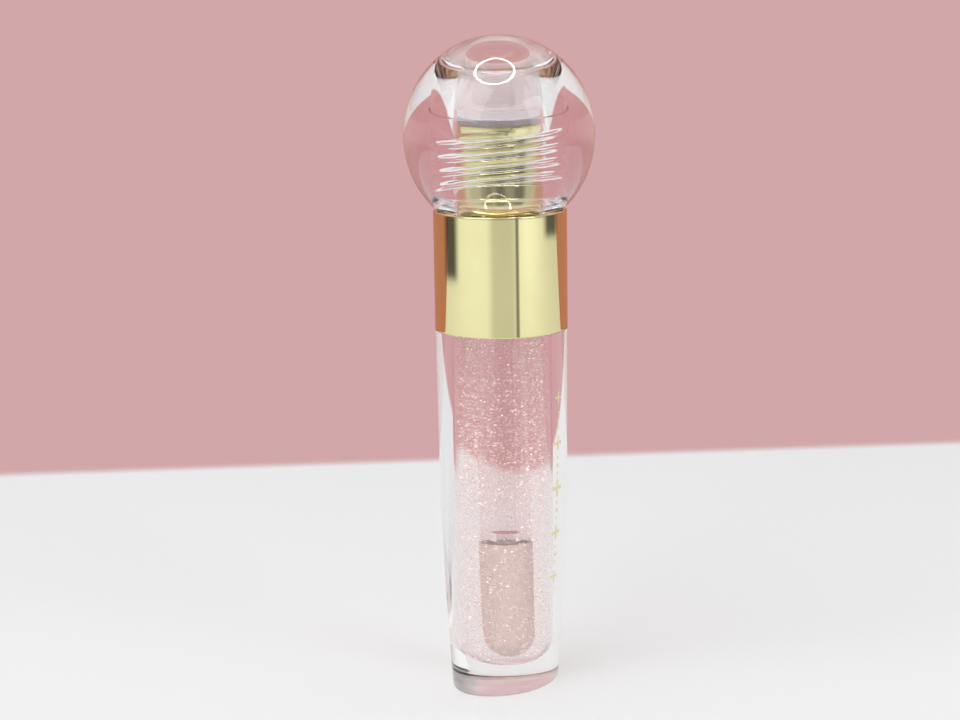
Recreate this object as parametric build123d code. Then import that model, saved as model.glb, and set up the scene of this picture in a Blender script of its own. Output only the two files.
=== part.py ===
from build123d import *
import math
import os

# Lip gloss tube with a clear ball cap. Millimetres, +Z up, origin at the middle of the foot.
# The flattened faces of the tube look along -Y and +Y, and the long way of its foot runs along X.

# ---- clear bottle ----
tube_height = 55.8          # foot to the lower edge of the collar
shoulder_inset = 0.03       # bottle set back from the collar where they meet, round there
foot_half_length = 9.2      # half of the oval foot along X
foot_half_depth = 7.1       # half of the oval foot along Y
foot_round = 0.5            # rounded edge under the foot
taper_power = 2.3           # the sides run in towards the foot, faster near it
bottle_sections = 7         # cross-sections that the outside is lofted through
floor_thickness = 4.0       # solid plastic under the gloss
cavity_radius = 4.95        # bore that holds the gloss
cavity_floor_round = 2.8    # rounded corner at the bottom of the bore
spigot_height = 16.2        # plain plug on top of the bottle, inside the collar
spigot_chamfer = 0.3
snap_bead_height = 5.0      # height of the snap bead above the shoulder
snap_bead_radius = 0.25     # section of the bead

# ---- gold collar with its threaded neck ----
collar_radius = 10.0
collar_wall = 1.25
collar_height = 17.9
collar_edge_round = 0.2
collar_roof_thickness = 1.3
spigot_clearance = 0.05     # glued fit between the bottle's spigot and the collar
neck_height = 12.6          # collar's top face to the rim of the neck
neck_radius = 6.3           # neck between its threads
neck_bore_radius = 4.6
neck_plain_height = 5.5     # thicker plain part below the threads, above the collar's top face
neck_plain_extra = 0.3      # how much thicker it is
neck_base_extra = 0.45      # same for the short step where the neck leaves the collar
neck_base_height = 3.7
neck_rim_round = 0.25

# ---- two-start screw thread shared by the neck and the ball ----
thread_starts = 2
thread_lead = 3.15          # rise in one whole turn
thread_crest_clearance = 0.06
thread_root_sink = 0.12     # how far a ridge is rooted in its wall
thread_entry_angle = 134.0  # direction from +X in which the first ridge begins
neck_thread_depth = 0.28
neck_thread_turns = 1.8
neck_thread_start = 6.1     # above the collar's top face
neck_thread_root_width = 0.95
neck_thread_crest_width = 0.3
ball_thread_depth = 0.36
ball_thread_turns = 2.0
ball_thread_start = 5.2     # above the ball's foot
ball_thread_root_width = 1.15
ball_thread_crest_width = 0.1

# ---- clear ball cap ----
ball_radius = 14.25         # across the ball
ball_half_height = 14.8     # the ball is a little taller than wide
ball_foot_inset = 0.4       # flat ring that stands on the collar, set back from its side
closing_gap = 0.1           # ball to collar when it is screwed down
bore_entry_length = 3.4     # wider mouth of the bore, round the neck's base step
bore_entry_clearance = 0.65  # between the neck's base step and the mouth
seat_step = 0.15            # the head's seat is this much narrower than the bore

# ---- wiper in the neck ----
wiper_clearance = 0.05
wiper_wall = 0.6
wiper_length = 9.0          # below its flange
wiper_flange_inset = 0.05   # flange set back from the neck's side
wiper_flange_thickness = 0.8
wiper_cone_height = 2.6
wand_running_gap = 0.3      # wiper lip, washer and gloss to the wand

# ---- wand: head, stem, applicator ----
washer_thickness = 1.0
washer_side_gap = 0.5       # washer to the ball's bore
washer_gap = 0.05           # face to face with its neighbours
head_clearance = 0.05       # pressed into the ball's bore
head_height = 5.5
head_rim_wall = 1.1         # outside of the ring-shaped hollow under the head's top
head_boss_wall = 1.5        # between that hollow and the stem
head_top_thickness = 1.3
head_top_chamfer = 0.95
head_well_radius = 3.45      # round well in the head's top, over the stem
head_top_gap = 0.02         # the head's top is bonded to the roof of the bore
stem_socket_depth = 3.2     # how far the stem sits in the head
stem_radius = 2.65
stem_fit_clearance = 0.02
applicator_radius = 2.75    # flocked tip, outside
applicator_length = 18.2
tip_clearance = 0.9         # applicator to the floor of the bore
flock_thickness = 0.45
core_tail_radius = 1.5      # peg of the applicator core inside the stem
core_tail_length = 1.6
tip_height = 3.2            # rounded end of the applicator
slant_start = 4.2           # slanted face begins this far below the applicator's top
slant_end_offset = -0.6     # how far from the axis the slanted face ends, at the tip
slant_facing = 150.0        # direction that the slanted face looks, degrees from +X

# ---- gloss ----
gloss_level = 63.0          # height of the gloss, hidden behind the collar
gloss_clearance = 0.03      # gloss to the bore of the bottle

# ---- heights that follow ----
collar_top = tube_height + collar_height
neck_top = collar_top + neck_height
spigot_top = tube_height + spigot_height
ball_foot = collar_top + closing_gap
ball_foot_radius = collar_radius - ball_foot_inset
ball_foot_drop = ball_half_height * math.sqrt(1 - (ball_foot_radius / ball_radius) ** 2)
ball_centre = ball_foot + ball_foot_drop
wiper_top = neck_top + wiper_flange_thickness
washer_bottom = wiper_top + washer_gap
washer_top = washer_bottom + washer_thickness
head_bottom = washer_top + washer_gap
head_top = head_bottom + head_height
ball_roof = head_top + head_top_gap
neck_plain_top = collar_top + neck_plain_height
stem_top = head_bottom + stem_socket_depth
applicator_bottom = floor_thickness + tip_clearance
applicator_top = applicator_bottom + applicator_length

# ---- radii that follow ----
shoulder_radius = collar_radius - shoulder_inset
spigot_radius = collar_radius - collar_wall - spigot_clearance
neck_plain_radius = neck_radius + neck_plain_extra
neck_base_radius = neck_radius + neck_base_extra
neck_crest_radius = neck_radius + neck_thread_depth
ball_crest_radius = neck_crest_radius + thread_crest_clearance
ball_bore_radius = ball_crest_radius + ball_thread_depth
bore_entry_radius = max(neck_base_radius + bore_entry_clearance, ball_crest_radius)
head_seat_radius = ball_bore_radius - seat_step
head_radius = head_seat_radius - head_clearance
wand_passage_radius = max(stem_radius, applicator_radius) + wand_running_gap
wiper_radius = neck_bore_radius - wiper_clearance
wiper_flange_radius = neck_radius - wiper_flange_inset
washer_radius = head_seat_radius - washer_side_gap
head_hollow_outer_radius = head_radius - head_rim_wall
head_hollow_inner_radius = stem_radius + head_boss_wall
core_radius = applicator_radius - flock_thickness


def turned(points):
    """Solid of revolution about Z from (radius, height) points."""
    outline = Polyline(*[(radius, 0, height) for radius, height in points], close=True)
    return revolve(make_face(outline), Axis.Z, 360)


def rod(radius, bottom, top):
    """Plain round rod on the Z axis between two heights."""
    return Pos(0, 0, bottom) * extrude(Circle(radius), top - bottom)


def thread_ridge(wall_radius, tip_radius, root_width, crest_width, start_height, turns, turn_offset):
    """One helical ridge that stands on a round wall and reaches tip_radius."""
    outward = 1 if tip_radius > wall_radius else -1
    root_radius = wall_radius - outward * thread_root_sink
    path = Pos(0, 0, start_height) * Helix(thread_lead, thread_lead * turns, wall_radius)
    section = make_face(
        Polyline(
            (root_radius, 0, start_height - root_width / 2),
            (tip_radius, 0, start_height - crest_width / 2),
            (tip_radius, 0, start_height + crest_width / 2),
            (root_radius, 0, start_height + root_width / 2),
            close=True,
        )
    )
    return Rot(0, 0, turn_offset) * sweep(section, path, is_frenet=True)


def thread_ridges(wall_radius, tip_radius, root_width, crest_width, start_height, turns):
    """The ridges of every start, evenly round the axis."""
    return [
        thread_ridge(
            wall_radius,
            tip_radius,
            root_width,
            crest_width,
            start_height,
            turns,
            thread_entry_angle + 360 * start / thread_starts,
        )
        for start in range(thread_starts)
    ]


def tube_half_sizes(height):
    """Half length and half depth of the bottle's outside at a height: oval foot, round shoulder."""
    taper = ((tube_height - height) / tube_height) ** taper_power
    half_length = shoulder_radius - (shoulder_radius - foot_half_length) * taper
    half_depth = shoulder_radius - (shoulder_radius - foot_half_depth) * taper
    return half_length, half_depth


def make_bottle():
    """Thick clear bottle: oval foot, round shoulder, round bore and the spigot for the collar."""
    sections = []
    for index in range(bottle_sections):
        height = tube_height * index / (bottle_sections - 1)
        half_length, half_depth = tube_half_sizes(height)
        is_round = math.isclose(half_length, half_depth)
        outline = Circle(half_length) if is_round else Ellipse(half_length, half_depth)
        sections.append(Pos(0, 0, height) * outline)
    outside = loft(sections)
    outside = fillet(outside.edges().sort_by(Axis.Z)[0], foot_round)
    spigot = rod(spigot_radius, tube_height - 1, spigot_top)
    spigot = chamfer(spigot.edges().sort_by(Axis.Z)[-1], spigot_chamfer)
    bead = Pos(0, 0, tube_height + snap_bead_height) * Torus(spigot_radius, snap_bead_radius)
    bore = rod(cavity_radius, floor_thickness, spigot_top + 1)
    bore = fillet(bore.edges().sort_by(Axis.Z)[0], cavity_floor_round)
    return outside + spigot + bead - bore


def make_collar():
    """Gold-plated collar: outer sleeve, roof and threaded neck in one moulding."""
    inner_radius = spigot_radius + spigot_clearance
    sleeve = turned(
        [
            (inner_radius, tube_height),
            (collar_radius, tube_height),
            (collar_radius, collar_top),
            (neck_base_radius, collar_top),
            (neck_base_radius, collar_top + neck_base_height),
            (neck_plain_radius, collar_top + neck_base_height),
            (neck_plain_radius, neck_plain_top),
            (neck_radius, neck_plain_top),
            (neck_radius, neck_top),
            (neck_bore_radius, neck_top),
            (neck_bore_radius, collar_top - collar_roof_thickness),
            (inner_radius, collar_top - collar_roof_thickness),
        ]
    )
    rims = sleeve.edges().filter_by(GeomType.CIRCLE)
    outer_rims = [edge for edge in rims if math.isclose(edge.radius, collar_radius, abs_tol=1e-6)]
    sleeve = fillet(outer_rims, collar_edge_round)
    rims = sleeve.edges().filter_by(GeomType.CIRCLE)
    neck_rim = [
        edge
        for edge in rims
        if math.isclose(edge.center().Z, neck_top, abs_tol=1e-6)
        and math.isclose(edge.radius, neck_radius, abs_tol=1e-6)
    ]
    sleeve = fillet(neck_rim, neck_rim_round)
    groove = Pos(0, 0, tube_height + snap_bead_height) * Torus(
        spigot_radius, snap_bead_radius + spigot_clearance
    )
    ridges = thread_ridges(
        neck_radius,
        neck_crest_radius,
        neck_thread_root_width,
        neck_thread_crest_width,
        collar_top + neck_thread_start,
        neck_thread_turns,
    )
    collar = sleeve - groove
    for ridge in ridges:
        collar += ridge
    return collar


def make_wiper():
    """Soft wiper plug: flange on the neck's rim, sleeve in its bore and a cone with the lip."""
    sleeve_bottom = neck_top - wiper_length
    inner_radius = wiper_radius - wiper_wall
    cone_top = sleeve_bottom + wiper_cone_height
    return turned(
        [
            (wand_passage_radius, sleeve_bottom),
            (wand_passage_radius + wiper_wall, sleeve_bottom),
            (wiper_radius, cone_top),
            (wiper_radius, neck_top),
            (wiper_flange_radius, neck_top),
            (wiper_flange_radius, wiper_top),
            (inner_radius, wiper_top),
            (inner_radius, cone_top + wiper_wall),
        ]
    )


def make_gloss():
    """The gloss in the bottle, with the channel that the wand stands in."""
    outer = rod(cavity_radius - gloss_clearance, floor_thickness + gloss_clearance, gloss_level)
    outer = fillet(outer.edges().sort_by(Axis.Z)[0], cavity_floor_round)
    channel_bottom = applicator_bottom - wand_running_gap
    channel = rod(wand_passage_radius, channel_bottom, gloss_level + 1)
    return outer - fillet(channel.edges().sort_by(Axis.Z)[0], tip_height - wand_running_gap)


def make_ball_cap():
    """Clear ball with a flat foot and a blind bore: plain mouth, thread and seat for the head."""
    ball = Pos(0, 0, ball_centre) * scale(Sphere(1), by=(ball_radius, ball_radius, ball_half_height))
    below = Pos(0, 0, ball_foot - ball_half_height) * Box(
        4 * ball_radius, 4 * ball_radius, 2 * ball_half_height
    )
    thread_end = ball_foot + ball_thread_start + thread_lead * ball_thread_turns
    seat_start = max(thread_end + ball_thread_root_width, head_bottom - washer_thickness)
    bore = turned(
        [
            (0, ball_foot - 1),
            (bore_entry_radius, ball_foot - 1),
            (bore_entry_radius, ball_foot + bore_entry_length),
            (ball_bore_radius, ball_foot + bore_entry_length),
            (ball_bore_radius, seat_start),
            (head_seat_radius, seat_start),
            (head_seat_radius, ball_roof),
            (0, ball_roof),
        ]
    )
    ridges = thread_ridges(
        ball_bore_radius,
        ball_crest_radius,
        ball_thread_root_width,
        ball_thread_crest_width,
        ball_foot + ball_thread_start,
        ball_thread_turns,
    )
    cap = ball - below - bore
    for ridge in ridges:
        cap += ridge
    return cap


def make_seal_washer():
    """Foam washer between the wand's head and the wiper's flange."""
    return rod(washer_radius, washer_bottom, washer_top) - rod(wand_passage_radius, washer_bottom, washer_top)


def make_wand_head():
    """Milky head of the wand, bonded into the ball: a cap with a boss that grips the stem."""
    head = rod(head_radius, head_bottom, head_top)
    head = chamfer(head.edges().sort_by(Axis.Z)[-1], head_top_chamfer)
    hollow_top = head_top - head_top_thickness
    hollow = rod(head_hollow_outer_radius, head_bottom, hollow_top) - rod(
        head_hollow_inner_radius, head_bottom, hollow_top
    )
    socket = rod(stem_radius + stem_fit_clearance, head_bottom, stem_top + stem_fit_clearance)
    well = rod(head_well_radius, stem_top + stem_fit_clearance, head_top)
    return head - hollow - socket - well


def make_stem():
    """Clear stem with a socket for the applicator's peg."""
    peg_hole = rod(
        core_tail_radius + stem_fit_clearance,
        applicator_top,
        applicator_top + core_tail_length + stem_fit_clearance,
    )
    return rod(stem_radius, applicator_top, stem_top) - peg_hole


def doe_foot(radius, bottom, top):
    """Round applicator body with a rounded tip and one slanted face."""
    tip = tip_height * radius / applicator_radius
    body = rod(radius, bottom + tip, top)
    end = Pos(0, 0, bottom + tip) * scale(Sphere(1), by=(radius, radius, tip))
    slant_top = applicator_top - slant_start
    shift = applicator_radius - radius
    cutter = extrude(
        make_face(
            Polyline(
                (radius, 0, slant_top + shift),
                (slant_end_offset + radius - shift, 0, applicator_bottom),
                (4 * applicator_radius, 0, applicator_bottom - applicator_radius),
                (4 * applicator_radius, 0, slant_top + shift),
                close=True,
            )
        ),
        2 * applicator_radius,
        both=True,
    )
    return Rot(0, 0, slant_facing) * (body + end - cutter)


def make_applicator_core():
    """Stiff core of the applicator, with the peg that holds it in the stem."""
    foot = doe_foot(core_radius, applicator_bottom + flock_thickness, applicator_top)
    peg = rod(core_tail_radius, applicator_top - flock_thickness, applicator_top + core_tail_length)
    return foot + peg


def make_applicator_flock():
    """Flocked skin over the core."""
    outside = doe_foot(applicator_radius, applicator_bottom, applicator_top)
    return outside - doe_foot(core_radius, applicator_bottom + flock_thickness, applicator_top + 1)


pieces = {
    "bottle": make_bottle,
    "collar": make_collar,
    "wiper": make_wiper,
    "gloss": make_gloss,
    "ball_cap": make_ball_cap,
    "seal_washer": make_seal_washer,
    "wand_head": make_wand_head,
    "stem": make_stem,
    "applicator_core": make_applicator_core,
    "applicator_flock": make_applicator_flock,
}

os.makedirs("parts", exist_ok=True)
for name, make in pieces.items():
    export_step(make(), f"parts/{name}.step")
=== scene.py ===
"""Looks of a lip gloss tube with a clear ball cap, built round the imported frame.

The bottle, collar, gloss, ball and wand head are remade as fine skins of rings round the Z axis, because
clear and mirror finishes show every facet. The wiper, washer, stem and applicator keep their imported
meshes. Sizes are in millimetres, and places come from the frame.
"""

import logging
import math
import random
from collections.abc import Iterable, Sequence
from dataclasses import dataclass, field
from enum import Enum

import bmesh
import bpy
import numpy as np
from mathutils import Matrix, Vector


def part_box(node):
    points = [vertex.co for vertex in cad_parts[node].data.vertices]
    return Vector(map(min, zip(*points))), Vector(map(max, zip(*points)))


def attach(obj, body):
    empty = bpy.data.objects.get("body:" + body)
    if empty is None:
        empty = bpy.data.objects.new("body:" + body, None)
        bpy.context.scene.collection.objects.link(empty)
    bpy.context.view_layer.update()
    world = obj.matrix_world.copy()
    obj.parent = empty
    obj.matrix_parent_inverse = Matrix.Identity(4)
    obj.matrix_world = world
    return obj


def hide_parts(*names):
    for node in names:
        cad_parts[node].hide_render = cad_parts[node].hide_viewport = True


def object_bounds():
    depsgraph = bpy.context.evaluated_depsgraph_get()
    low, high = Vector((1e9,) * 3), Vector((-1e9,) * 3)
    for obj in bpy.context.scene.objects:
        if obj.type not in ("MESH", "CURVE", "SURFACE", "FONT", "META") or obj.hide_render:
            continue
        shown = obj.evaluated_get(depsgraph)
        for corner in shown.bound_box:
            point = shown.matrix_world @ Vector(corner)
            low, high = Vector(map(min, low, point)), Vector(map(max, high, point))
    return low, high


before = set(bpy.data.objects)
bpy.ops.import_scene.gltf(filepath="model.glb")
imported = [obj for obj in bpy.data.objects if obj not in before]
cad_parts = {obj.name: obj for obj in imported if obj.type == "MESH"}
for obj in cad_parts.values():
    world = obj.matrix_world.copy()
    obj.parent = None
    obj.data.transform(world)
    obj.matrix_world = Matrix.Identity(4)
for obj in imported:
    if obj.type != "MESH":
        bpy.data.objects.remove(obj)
cad_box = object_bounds()

log = logging.getLogger("gloss_tube")
MM = 0.001
FULL_TURN = 2 * math.pi
UP = Vector((0, 0, 1))
NEAR_AXIS = 0.02
MERGE_DISTANCE = 1e-7

Colour = tuple[float, float, float]
Range = tuple[float, float]


class Body(Enum):
    """Moving bodies of the frame that pieces ride on."""

    BOTTLE = "bottle"
    CAP = "cap"


class Slot(Enum):
    """Material slots of the record."""

    BOTTLE = "clear_bottle"
    GOLD = "gold_plate"
    GEL = "gloss_gel"
    CAP = "clear_cap"
    MILKY = "milky_plastic"
    FLOCK = "flock"


class Ray(Enum):
    """Kinds of ray that a shader can tell apart."""

    CAMERA = "Is Camera Ray"
    LAMP = "Is Shadow Ray"
    GLOSSY = "Is Glossy Ray"
    THROUGH = "Is Transmission Ray"


class Motif(Enum):
    """Motifs of the foil ornament."""

    STAR = "star"
    DOT = "dot"


# ---------------------------------------------------------------------------------------------------
# Shader kit
# ---------------------------------------------------------------------------------------------------


@dataclass(frozen=True)
class Grain:
    """Noise in object space: rough size of its features, number of finer octaves, and scale along X, Y, Z."""

    size: float
    detail: float = 3.0
    stretch: tuple[float, float, float] = (1.0, 1.0, 1.0)


class Signal:
    """A shader socket that takes part in Python arithmetic."""

    def __init__(self, maker: "NodeMaker", socket: bpy.types.NodeSocket) -> None:
        """Wraps one output socket.

        Args:
            maker: The tree that the socket belongs to.
            socket: The output socket.
        """
        self.maker = maker
        self.socket = socket

    def __add__(self, other: "Signal | float") -> "Signal":
        """Sum."""
        return self.maker.math("ADD", self, other)

    def __radd__(self, other: float) -> "Signal":
        """Sum with a number on the left."""
        return self.maker.math("ADD", other, self)

    def __sub__(self, other: "Signal | float") -> "Signal":
        """Difference."""
        return self.maker.math("SUBTRACT", self, other)

    def __rsub__(self, other: float) -> "Signal":
        """Difference with a number on the left."""
        return self.maker.math("SUBTRACT", other, self)

    def __mul__(self, other: "Signal | float") -> "Signal":
        """Product."""
        return self.maker.math("MULTIPLY", self, other)

    def __rmul__(self, other: float) -> "Signal":
        """Product with a number on the left."""
        return self.maker.math("MULTIPLY", other, self)

    def between(self, low: float, high: float) -> "Signal":
        """Smooth step.

        Args:
            low: Value that gives 0.
            high: Value that gives 1.

        Returns:
            The step, from 0 to 1.
        """
        sockets = {"Value": self, "From Min": low, "From Max": high, "To Min": 0.0, "To Max": 1.0}
        settings = {"interpolation_type": "SMOOTHSTEP"}
        return self.maker.value("ShaderNodeMapRange", "Result", settings, sockets)


Term = Signal | float | Sequence[float]


class NodeMaker:
    """Adds nodes to one shader tree."""

    noise_roughness = 0.55

    def __init__(self, tree: bpy.types.NodeTree) -> None:
        """Empties the tree.

        Args:
            tree: The tree to fill.
        """
        self.tree = tree
        tree.nodes.clear()

    def node(self, kind: str, settings: dict | None = None, sockets: dict | None = None) -> bpy.types.Node:
        """Adds one node.

        Args:
            kind: The node's type name.
            settings: Attributes, set before the sockets. "stops" fills a colour ramp.
            sockets: Input name or index to a number, a colour, a vector or a Signal.

        Returns:
            The node.
        """
        made = self.tree.nodes.new(kind)
        for name, setting in (settings or {}).items():
            if name == "stops":
                self._fill_ramp(made.color_ramp, setting)
            else:
                setattr(made, name, setting)
        for key, term in (sockets or {}).items():
            if isinstance(term, Signal):
                self.tree.links.new(term.socket, made.inputs[key])
            else:
                made.inputs[key].default_value = term
        return made

    @staticmethod
    def _fill_ramp(ramp: bpy.types.ColorRamp, stops: Sequence[tuple[float, Colour]]) -> None:
        """Sets a ramp's stops, each of which holds until the next.

        Args:
            ramp: The colour ramp.
            stops: Position and colour of each stop, from left to right.
        """
        ramp.interpolation = "CONSTANT"
        while len(ramp.elements) < len(stops):
            ramp.elements.new(1.0)
        for element, (position, colour) in zip(ramp.elements, stops):
            element.position = position
            element.color = (*colour, 1.0)

    def value(
        self, kind: str, output: str | int, settings: dict | None = None, sockets: dict | None = None
    ) -> Signal:
        """Adds one node and wraps one of its outputs.

        Args:
            kind: The node's type name.
            output: Name or index of the output.
            settings: As in node().
            sockets: As in node().

        Returns:
            The output as a Signal.
        """
        return Signal(self, self.node(kind, settings, sockets).outputs[output])

    def math(self, operation: str, first: Term, second: Term) -> Signal:
        """Adds a Math node on two terms."""
        return self.value("ShaderNodeMath", 0, {"operation": operation}, {0: first, 1: second})

    def mix_colour(self, share: Term, first: Term, second: Term) -> Signal:
        """Mixes two colours.

        Args:
            share: How much of the second colour.
            first: Colour at share 0.
            second: Colour at share 1.

        Returns:
            The mixed colour.
        """
        colours = [term if isinstance(term, Signal) else (*term, 1.0) for term in (first, second)]
        sockets = {0: share, 6: colours[0], 7: colours[1]}
        return self.value("ShaderNodeMix", 2, {"data_type": "RGBA"}, sockets)

    def mix_shader(self, share: Signal, first: Signal, second: Signal) -> Signal:
        """Mixes two shaders, the second where share is 1."""
        return self.value("ShaderNodeMixShader", 0, None, {0: share, 1: first, 2: second})

    def glow(self, colour: Term, strength: float = 1.0) -> Signal:
        """Shader that shines evenly in this colour."""
        plain = colour if isinstance(colour, Signal) else (*colour, 1.0)
        return self.value("ShaderNodeEmission", 0, None, {"Color": plain, "Strength": strength})

    def place(self) -> Signal:
        """Object coordinates, in metres in the row frame."""
        return self.value("ShaderNodeTexCoord", "Object")

    def along(self, where: Signal, direction: Vector) -> Signal:
        """Dot product of a place or direction with a fixed direction."""
        settings = {"operation": "DOT_PRODUCT"}
        return self.value("ShaderNodeVectorMath", "Value", settings, {0: where, 1: direction})

    def length(self, where: Signal) -> Signal:
        """Distance of a place from the origin."""
        return self.value("ShaderNodeVectorMath", "Value", {"operation": "LENGTH"}, {0: where})

    def noise(self, grain: Grain) -> Signal:
        """Noise in object space.

        Args:
            grain: Its size, detail and stretch.

        Returns:
            Noise from 0 to 1.
        """
        stretched = {0: self.place(), 1: grain.stretch}
        where = self.value("ShaderNodeVectorMath", 0, {"operation": "MULTIPLY"}, stretched)
        sockets = {
            "Vector": where,
            "Scale": 1.0 / (grain.size * MM),
            "Detail": grain.detail,
            "Roughness": self.noise_roughness,
        }
        return self.value("ShaderNodeTexNoise", "Fac", None, sockets)

    def bump(self, height: Signal, depth: float) -> Signal:
        """Normal from a height of 0 to 1 and its depth in millimetres."""
        sockets = {"Height": height, "Distance": depth * MM, "Strength": 1.0}
        return self.value("ShaderNodeBump", "Normal", None, sockets)

    def rays(self, *kinds: Ray) -> Signal:
        """Tells rays apart.

        Args:
            kinds: The kinds of ray that give 1.

        Returns:
            1 for rays of these kinds and 0 for others.
        """
        path = self.node("ShaderNodeLightPath")
        total = Signal(self, path.outputs[kinds[0].value])
        for kind in kinds[1:]:
            total = self.math("MAXIMUM", total, Signal(self, path.outputs[kind.value]))
        return total

    def mirror_rays(self) -> Signal:
        """1 for rays that leave a mirror straight for the studio, and 0 for rays that cross clear walls."""
        return self.rays(Ray.GLOSSY) * (1 - self.rays(Ray.THROUGH))


class MaterialMaker(NodeMaker):
    """Builds one material."""

    def __init__(self, name: str) -> None:
        """Starts an empty material with this name."""
        self.material = bpy.data.materials.new(name)
        self.material.use_nodes = True
        super().__init__(self.material.node_tree)

    def principled(self, **sockets: Term) -> Signal:
        """Adds the main shader.

        Args:
            sockets: Input names with "_" for a space.

        Returns:
            Its BSDF output.
        """
        named = {name.replace("_", " "): term for name, term in sockets.items()}
        return self.value("ShaderNodeBsdfPrincipled", "BSDF", None, named)

    def lets_lamps_through(self, shader: Signal, tint: Colour) -> Signal:
        """Lets the lamps' rays pass straight through a clear shader, so that they light what is behind it.

        Args:
            shader: The clear shader.
            tint: Colour of the light that passes.

        Returns:
            The mixed shader.
        """
        passing = self.value("ShaderNodeBsdfTransparent", 0, None, {"Color": (*tint, 1.0)})
        return self.mix_shader(self.rays(Ray.LAMP), shader, passing)

    def done(self, shader: Signal) -> bpy.types.Material:
        """Joins the shader to the output and returns the material."""
        self.node("ShaderNodeOutputMaterial", None, {"Surface": shader})
        return self.material


# ---------------------------------------------------------------------------------------------------
# Finishes
# ---------------------------------------------------------------------------------------------------


def shaded(colour: Colour, share: float) -> Colour:
    """A colour darkened to a share of itself."""
    red, green, blue = (share * channel for channel in colour)
    return red, green, blue


@dataclass(frozen=True)
class ClearPlastic:
    """Polished clear moulding with faint flow marks, handling haze and, if it stands, a dulled foot."""

    name: str
    tint: Colour
    index: float = 1.5
    haze: float = 0.006
    wear: Grain = Grain(2.6, 4.0)
    worn: Range = (0.55, 0.85)
    cloud: Grain = Grain(14.0, 2.0)
    cloud_shade: float = 0.985
    flow: Grain = Grain(9.0, 1.0, (1.0, 1.0, 0.35))
    flow_depth: float = 0.004
    foot_height: Range = (0.05, 0.12)
    foot_frosting: float = 0.0
    foot_contact: float = 0.0
    contact_patches: Grain = Grain(4.0, 2.0)
    least_contact: float = 0.5

    def build(self) -> bpy.types.Material:
        """Builds the finish.

        Returns:
            Its material.
        """
        maker = MaterialMaker(self.name)
        roughness = maker.noise(self.wear).between(*self.worn) * self.haze
        cover: dict[str, Term] = {}
        if self.foot_contact:
            low, high = self.foot_height
            on_foot = 1 - maker.along(maker.place(), UP).between(low * MM, high * MM)
            roughness = roughness + on_foot * self.foot_frosting
            patches = self.least_contact + maker.noise(self.contact_patches)
            cover["Alpha"] = 1 - on_foot * patches * self.foot_contact
        cloudy = shaded(self.tint, self.cloud_shade)
        glass = maker.principled(
            Base_Color=maker.mix_colour(maker.noise(self.cloud), self.tint, cloudy),
            Roughness=roughness,
            IOR=self.index,
            Transmission_Weight=1.0,
            Normal=maker.bump(maker.noise(self.flow), self.flow_depth),
            **cover,
        )
        return maker.done(maker.lets_lamps_through(glass, self.tint))


@dataclass(frozen=True)
class GelFinish:
    """Pale pink gloss: a clear gel with a slight pearly haze."""

    name: str = "pink_gel"
    tint: Colour = (0.98, 0.91, 0.91)
    pearl: Colour = (0.97, 0.84, 0.84)
    index: float = 1.46
    swirl: Grain = Grain(5.0, 3.0, (1.0, 1.0, 0.5))
    pearly: Range = (0.35, 0.7)
    pearl_share: float = 0.35
    cloudy: Range = (0.4, 0.8)
    roughness: float = 0.02
    cloud_roughness: float = 0.05

    def build(self) -> bpy.types.Material:
        """Builds the finish.

        Returns:
            Its material.
        """
        maker = MaterialMaker(self.name)
        swirl = maker.noise(self.swirl)
        pearl = swirl.between(*self.pearly) * self.pearl_share
        gel = maker.principled(
            Base_Color=maker.mix_colour(pearl, self.tint, self.pearl),
            Roughness=self.roughness + swirl.between(*self.cloudy) * self.cloud_roughness,
            IOR=self.index,
            Transmission_Weight=1.0,
        )
        return maker.done(maker.lets_lamps_through(gel, self.tint))


@dataclass(frozen=True)
class GlitterFinish:
    """Metallised film flakes in gold, rose and silver, one colour to a flake.

    Most flakes are sheer with a faint painted glow. A random few are solid with a bright painted glint.
    """

    name: str = "glitter_flakes"
    gold: Colour = (1.0, 0.88, 0.76)
    rose: Colour = (1.0, 0.82, 0.82)
    silver: Colour = (1.0, 0.94, 0.94)
    rose_from: float = 0.42
    silver_from: float = 0.7
    # Painted light: emission colours of the flakes, a faint glow on all of them and a bright glint on the
    # random few.
    glow: Colour = (1.0, 0.86, 0.80)
    painted_shimmer_glow: Colour = (0.30, 0.23, 0.23)
    painted_glint_range: Range = (0.90, 0.92)
    strength: float = 0.55
    metallic: float = 0.12
    roughness: float = 0.18
    dullness: float = 0.5
    sheer: float = 0.32

    def build(self) -> bpy.types.Material:
        """Builds the finish.

        Returns:
            Its material.
        """
        maker = MaterialMaker(self.name)
        flake = maker.value("ShaderNodeNewGeometry", "Random Per Island")
        stops = [(0.0, self.gold), (self.rose_from, self.rose), (self.silver_from, self.silver)]
        colour = maker.value("ShaderNodeValToRGB", "Color", {"stops": stops}, {"Fac": flake})
        shine = maker.value("ShaderNodeTexWhiteNoise", "Value", {"noise_dimensions": "1D"}, {"W": flake})
        glint = shine.between(*self.painted_glint_range)
        # Painted glints and glow: the flakes shine by emission, not by reflecting a lamp.
        flakes = maker.principled(
            Base_Color=colour,
            Metallic=self.metallic,
            Roughness=self.roughness + shine * self.dullness,
            Alpha=self.sheer + glint * (1 - self.sheer),
            Emission_Color=maker.mix_colour(glint, self.painted_shimmer_glow, self.glow),
            Emission_Strength=self.strength,
        )
        return maker.done(flakes)


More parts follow.
